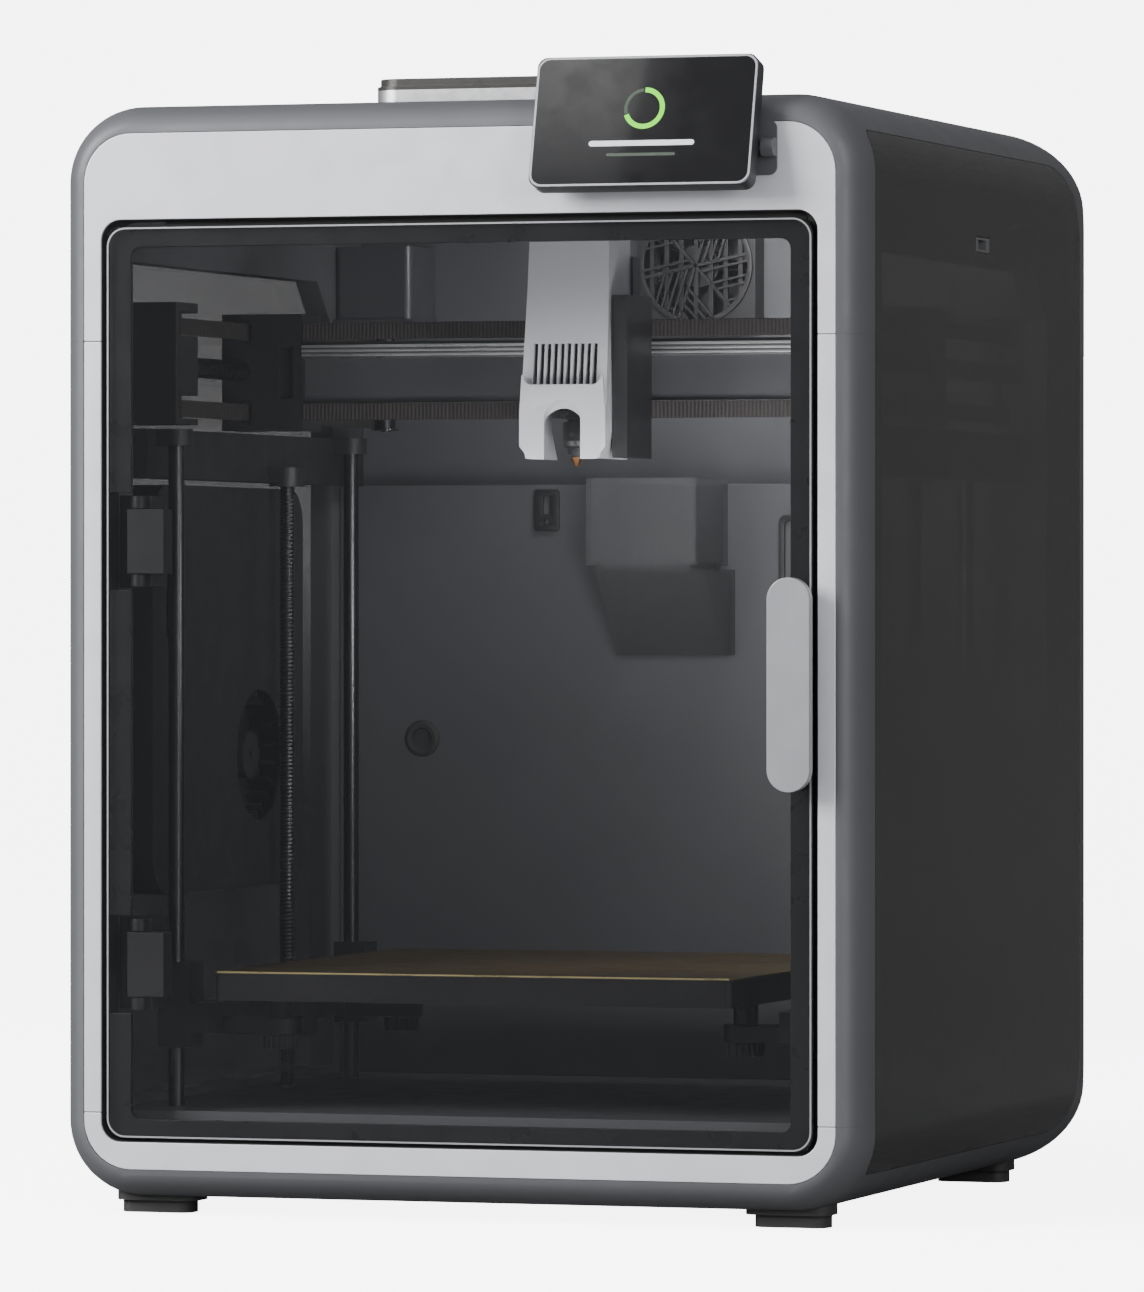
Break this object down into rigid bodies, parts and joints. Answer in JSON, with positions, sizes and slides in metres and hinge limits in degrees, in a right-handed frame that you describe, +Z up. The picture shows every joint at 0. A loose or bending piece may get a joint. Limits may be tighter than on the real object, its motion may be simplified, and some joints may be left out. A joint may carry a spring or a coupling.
{
  "type": "fdm printer",
  "caption": "Enclosed 3D printer: rounded grey housing with glass front door, tilting touch screen, belt-driven gantry and moving heated bed inside.",
  "frame": {"origin": "middle of the object's box, on the surface under the feet", "axes": "+X right, +Y from the door to the back, +Z up"},
  "size_m": [0.404, 0.4366, 0.553],
  "materials": {
    "casing_grey": "satin metallic grey",
    "trim_silver": "satin silver",
    "smoked_panel": "smoked gloss",
    "door_glass": "smoked clear",
    "border_black": "gloss black print",
    "handle_silver": "bead-blasted",
    "black_plastic": "fine texture",
    "dark_sheet": "powder coat",
    "rubber_black": "matt",
    "ground_steel": "ground",
    "belt_rubber": "toothed",
    "screen_glass": "gloss black",
    "clear_smoke": "translucent smoke",
    "circuit_board": "solder mask",
    "psu_metal": "plain",
    "lid_glass": "smoked clear",
    "beam_black": "black anodised",
    "head_grey": "satin grey",
    "copper": "machined copper",
    "gear_brass": "machined",
    "bed_black": "anodised black",
    "gold_sheet": "textured gold powder"
  },
  "bodies": {
    "root": {"base_housing": "casing_grey", "left_frame": "casing_grey", "right_frame": "casing_grey", "top_housing": "casing_grey", "rear_cover": "dark_sheet", "chamber_floor": "dark_sheet", "chamber_back_panel": "dark_sheet", "front_trim": "trim_silver", "left_side_panel": "smoked_panel", "right_side_panel": "smoked_panel", "side_beams": "black_plastic", "rubber_feet": "rubber_black", "z_guide_rods": "ground_steel", "y_guide_rods": "ground_steel", "z_motors": "beam_black", "xy_motors": "beam_black", "y_belts": "belt_rubber", "belt_brackets": "black_plastic", "aux_fan_housing": "black_plastic", "exhaust_fan_housing": "black_plastic", "purge_chute": "clear_smoke", "mainboard": "circuit_board", "power_supply": "psu_metal", "power_inlet": "black_plastic", "usb_port": "black_plastic", "hinge_brackets": "black_plastic", "screen_mount": "casing_grey"},
    "door": {"door_glass": "door_glass", "door_border": "border_black", "door_handle": "handle_silver", "door_hinge_leaves": "black_plastic"},
    "screen": {"screen_housing": "black_plastic", "screen_glass": "screen_glass"},
    "lid": {"lid_frame": "black_plastic", "lid_glass": "lid_glass", "lid_handle": "handle_silver"},
    "gantry": {"x_beam": "beam_black", "x_rail": "ground_steel", "y_carriages": "black_plastic", "x_belts": "belt_rubber"},
    "toolhead": {"toolhead_cover": "head_grey", "toolhead_body": "black_plastic", "hotend": "copper"},
    "head_fan": {"head_fan_rotor": "black_plastic"},
    "extruder": {"extruder_gear": "gear_brass"},
    "cutter": {"cutter_lever": "black_plastic"},
    "bed": {"bed_plate": "bed_black", "build_sheet": "gold_sheet", "z_carriages": "black_plastic"},
    "knob_front_left": {"knob_front_left": "black_plastic"},
    "knob_front_right": {"knob_front_right": "black_plastic"},
    "knob_rear_left": {"knob_rear_left": "black_plastic"},
    "knob_rear_right": {"knob_rear_right": "black_plastic"},
    "screw_left": {"lead_screw_left": "ground_steel"},
    "screw_right": {"lead_screw_right": "ground_steel"},
    "pulley_left": {"xy_pulley_left": "ground_steel"},
    "pulley_right": {"xy_pulley_right": "ground_steel"},
    "aux_fan": {"aux_fan_rotor": "black_plastic"},
    "exhaust_fan": {"exhaust_fan_rotor": "black_plastic"},
    "switch": {"power_switch": "black_plastic"}
  },
  "joints": [
    {"name": "door_hinge", "type": "hinge", "parent": "root", "child": "door", "pos_m": [-0.1633, -0.18725, 0.25665], "axis": [0, 0, -1], "range_deg": [0, 105]},
    {"name": "screen_tilt", "type": "hinge", "parent": "root", "child": "screen", "pos_m": [0.099, -0.19985, 0.509], "axis": [1, 0, 0], "range_deg": [-10, 14]},
    {"name": "lid_lift", "type": "slide", "parent": "root", "child": "lid", "axis": [0, 0, 1], "range_m": [0, 0.06]},
    {"name": "gantry_slide", "type": "slide", "parent": "root", "child": "gantry", "axis": [0, 1, 0], "range_m": [-0.101, 0.17]},
    {"name": "head_slide", "type": "slide", "parent": "gantry", "child": "toolhead", "axis": [1, 0, 0], "range_m": [-0.146, 0.11]},
    {"name": "bed_lift", "type": "slide", "parent": "root", "child": "bed", "axis": [0, 0, 1], "range_m": [-0.0155, 0.244]},
    {"name": "screw_left_spin", "type": "hinge", "parent": "root", "child": "screw_left", "pos_m": [-0.165, 0.02575, 0.2], "axis": [0, 0, 1], "range_deg": [-700, 10990]},
    {"name": "screw_right_spin", "type": "hinge", "parent": "root", "child": "screw_right", "pos_m": [0.165, 0.02575, 0.2], "axis": [0, 0, 1], "range_deg": [-700, 10990]},
    {"name": "pulley_left_spin", "type": "hinge", "parent": "root", "child": "pulley_left", "pos_m": [-0.166, 0.17955, 0.4115], "axis": [0, 0, 1], "continuous": true},
    {"name": "pulley_right_spin", "type": "hinge", "parent": "root", "child": "pulley_right", "pos_m": [0.166, 0.17955, 0.4115], "axis": [0, 0, 1], "continuous": true},
    {"name": "aux_fan_spin", "type": "hinge", "parent": "root", "child": "aux_fan", "pos_m": [-0.19, 0.01575, 0.218], "axis": [1, 0, 0], "continuous": true},
    {"name": "exhaust_fan_spin", "type": "hinge", "parent": "root", "child": "exhaust_fan", "pos_m": [0.003, 0.19475, 0.47], "axis": [0, 1, 0], "continuous": true},
    {"name": "head_fan_spin", "type": "hinge", "parent": "toolhead", "child": "head_fan", "pos_m": [0.0165, -0.05825, 0.411], "axis": [0, 1, 0], "continuous": true},
    {"name": "extruder_spin", "type": "hinge", "parent": "toolhead", "child": "extruder", "pos_m": [0.0185, -0.05825, 0.4455], "axis": [0, 1, 0], "continuous": true},
    {"name": "cutter_push", "type": "slide", "parent": "toolhead", "child": "cutter", "axis": [1, 0, 0], "range_m": [0, 0.003], "stiffness_N_per_m": 300},
    {"name": "knob_front_left_turn", "type": "hinge", "parent": "bed", "child": "knob_front_left", "pos_m": [-0.119, -0.10925, 0.08], "axis": [0, 0, 1], "continuous": true},
    {"name": "knob_front_right_turn", "type": "hinge", "parent": "bed", "child": "knob_front_right", "pos_m": [0.119, -0.10925, 0.08], "axis": [0, 0, 1], "continuous": true},
    {"name": "knob_rear_left_turn", "type": "hinge", "parent": "bed", "child": "knob_rear_left", "pos_m": [-0.119, 0.06975, 0.08], "axis": [0, 0, 1], "continuous": true},
    {"name": "knob_rear_right_turn", "type": "hinge", "parent": "bed", "child": "knob_rear_right", "pos_m": [0.119, 0.06975, 0.08], "axis": [0, 0, 1], "continuous": true},
    {"name": "power_rocker", "type": "hinge", "parent": "root", "child": "switch", "pos_m": [0.135, 0.21325, 0.1091], "axis": [1, 0, 0], "range_deg": [0, 14]}
  ],
  "couplings": [
    {"joint": "screw_left_spin", "follows": "bed_lift", "rad_per_m": 785.4},
    {"joint": "screw_right_spin", "follows": "bed_lift", "rad_per_m": 785.4}
  ]
}
